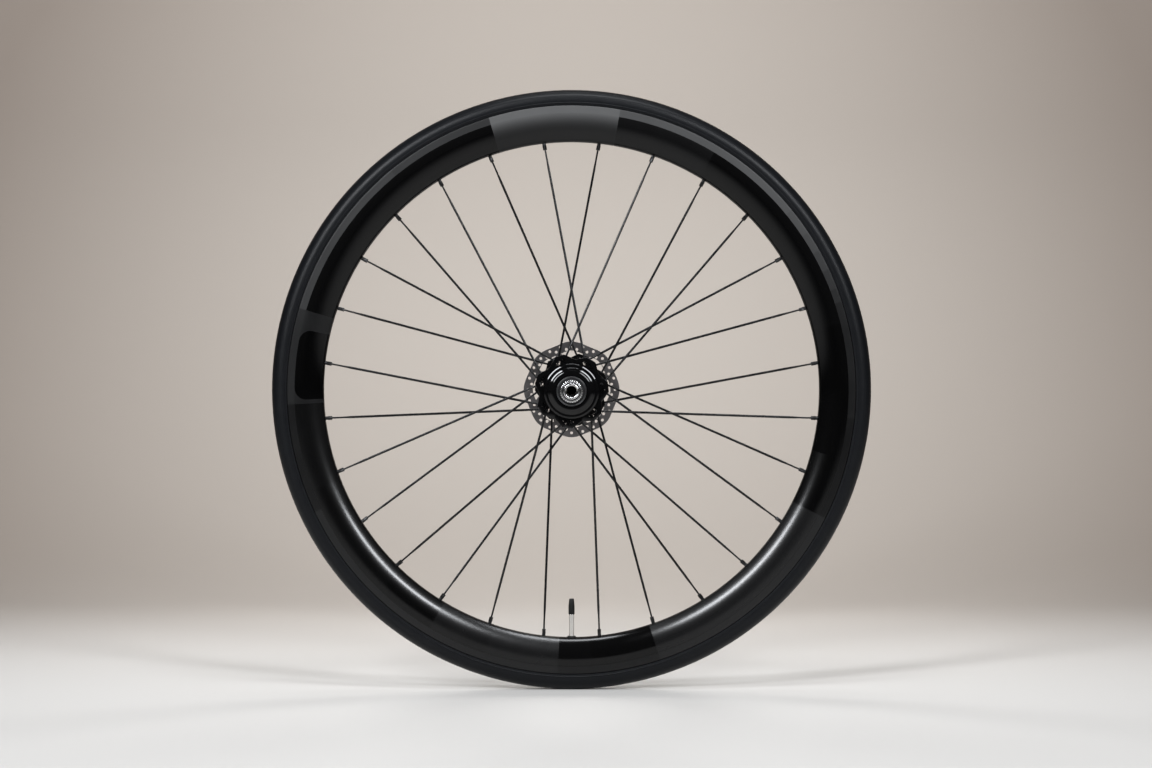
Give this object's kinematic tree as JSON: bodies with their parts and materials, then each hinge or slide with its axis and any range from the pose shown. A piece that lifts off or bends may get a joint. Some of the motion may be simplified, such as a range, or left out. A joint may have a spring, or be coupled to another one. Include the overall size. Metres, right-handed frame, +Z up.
{
  "type": "bicycle wheel",
  "caption": "Front road bicycle wheel with deep hollow rim, slick tyre, straight-pull bladed spokes, disc brake rotor and sealed-bearing hub for a through axle.",
  "frame": {"origin": "centre of the axle bore, midway between the two end caps", "axes": "+Y along the axle towards the brake rotor, +Z up with the valve at the lowest point, +X to the right seen from the side without the rotor"},
  "size_m": [0.6719, 0.1, 0.672],
  "materials": {
    "tyre_rubber": "matte",
    "tube_rubber": "matte",
    "rim_tape": "satin",
    "rim_carbon": "satin",
    "spoke_black": "satin",
    "nipple_black": "satin",
    "hub_black": "gloss",
    "silver_alloy": "satin",
    "bearing_steel": "polished",
    "seal_rubber": "matte",
    "cage_nylon": "satin",
    "rotor_steel": "satin",
    "spider_black": "satin",
    "rivet_steel": "satin",
    "valve_nickel": "polished",
    "cap_black": "satin",
    "collar_rubber": "matte"
  },
  "bodies": {
    "axle": {"axle": "silver_alloy", "right_end_cap": "silver_alloy", "left_end_cap": "silver_alloy", "right_bearing_inner_ring": "bearing_steel", "left_bearing_inner_ring": "bearing_steel"},
    "wheel": {"brake_rotor": "rotor_steel", "hub_shell": "hub_black", "inner_tube": "tube_rubber", "left_bearing_outer_ring": "bearing_steel", "left_bearing_seals": "seal_rubber", "right_bearing_outer_ring": "bearing_steel", "right_bearing_seals": "seal_rubber", "right_dust_ring": "silver_alloy", "right_lip_seal": "seal_rubber", "rim": "rim_carbon", "rim_tape": "rim_tape", "rotor_lockring": "spider_black", "rotor_rivets": "rivet_steel", "rotor_spider": "spider_black", "spoke_01": "spoke_black", "spoke_02": "spoke_black", "spoke_03": "spoke_black", "spoke_04": "spoke_black", "spoke_05": "spoke_black", "spoke_06": "spoke_black", "spoke_07": "spoke_black", "spoke_08": "spoke_black", "spoke_09": "spoke_black", "spoke_10": "spoke_black", "spoke_11": "spoke_black", "spoke_12": "spoke_black", "spoke_13": "spoke_black", "spoke_14": "spoke_black", "spoke_15": "spoke_black", "spoke_16": "spoke_black", "spoke_17": "spoke_black", "spoke_18": "spoke_black", "spoke_19": "spoke_black", "spoke_20": "spoke_black", "spoke_21": "spoke_black", "spoke_22": "spoke_black", "spoke_23": "spoke_black", "spoke_24": "spoke_black", "spoke_25": "spoke_black", "spoke_26": "spoke_black", "spoke_27": "spoke_black", "spoke_28": "spoke_black", "spoke_nipples": "nipple_black", "tyre": "tyre_rubber", "valve_collar": "collar_rubber", "valve_core": "valve_nickel", "valve_lock_nut": "valve_nickel", "valve_pin": "valve_nickel", "valve_stem": "valve_nickel"},
    "right_ball_set": {"right_bearing_balls": "bearing_steel", "right_bearing_cage": "cage_nylon"},
    "left_ball_set": {"left_bearing_balls": "bearing_steel", "left_bearing_cage": "cage_nylon"},
    "valve_cap": {"valve_cap": "cap_black"}
  },
  "joints": [
    {"name": "wheel_spin", "type": "hinge", "parent": "axle", "child": "wheel", "pos_m": [0, 0, 0], "axis": [0, 1, 0], "continuous": true},
    {"name": "right_balls_roll", "type": "hinge", "parent": "axle", "child": "right_ball_set", "pos_m": [0, 0, 0], "axis": [0, 1, 0], "continuous": true},
    {"name": "left_balls_roll", "type": "hinge", "parent": "axle", "child": "left_ball_set", "pos_m": [0, 0, 0], "axis": [0, 1, 0], "continuous": true},
    {"name": "valve_cap_lift", "type": "slide", "parent": "wheel", "child": "valve_cap", "axis": [0, 0, 1], "range_m": [0, 0.02]}
  ],
  "couplings": [
    {"joint": "right_balls_roll", "follows": "wheel_spin", "ratio": 0.5814},
    {"joint": "left_balls_roll", "follows": "wheel_spin", "ratio": 0.5814}
  ]
}
